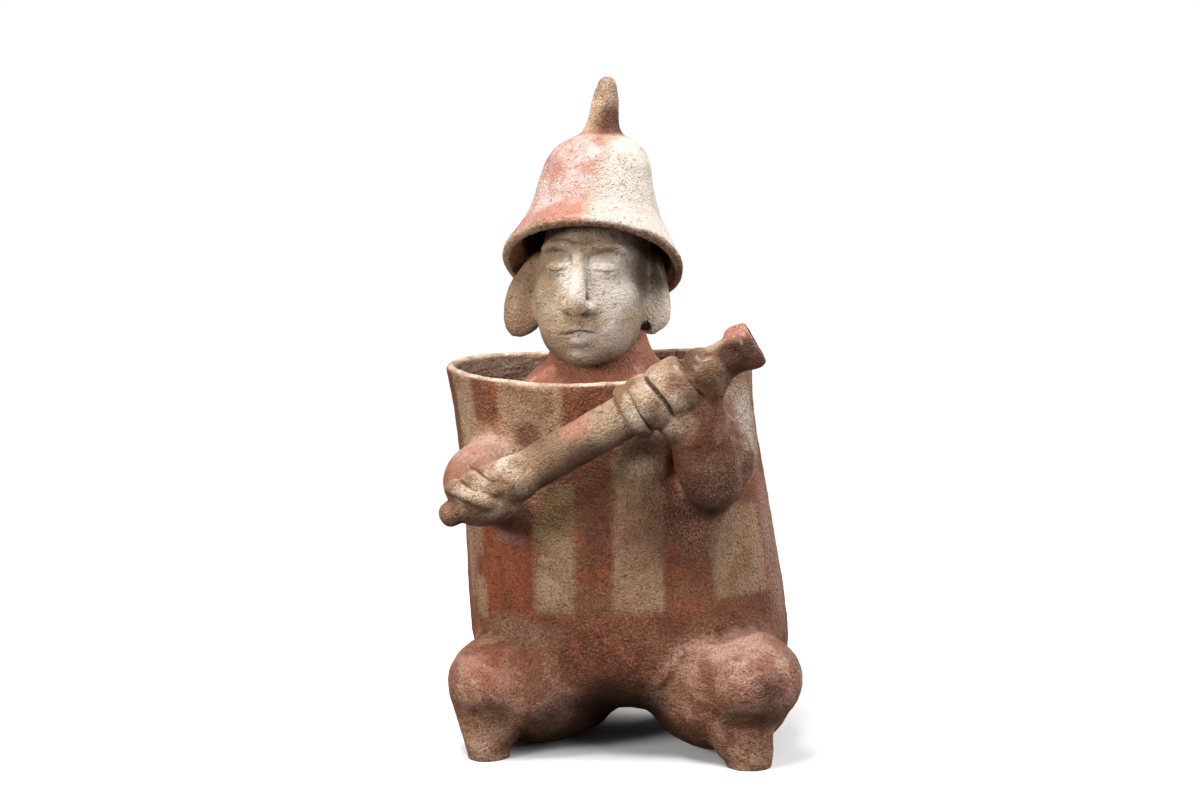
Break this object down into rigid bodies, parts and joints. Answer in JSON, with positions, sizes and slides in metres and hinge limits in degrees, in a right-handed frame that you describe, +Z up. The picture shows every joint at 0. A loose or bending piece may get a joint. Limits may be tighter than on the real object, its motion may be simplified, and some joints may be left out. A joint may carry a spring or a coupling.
{
  "type": "warrior figure",
  "caption": "Seated warrior in slip-painted earthenware, in a barrel cuirass and bell helmet with a crest, holding a flared club across the chest.",
  "frame": {"origin": "middle of the floor under the figure's bounding box", "axes": "+Z up along the figure, -Y the way it faces, +X to its own left"},
  "size_m": [0.2206, 0.195, 0.4005],
  "materials": {
    "slip_painted_earthenware": "red and cream slip over brown clay, rubbed to a low sheen and worn"
  },
  "bodies": {
    "root": {"warrior_figure": "slip_painted_earthenware"}
  },
  "joints": []
}
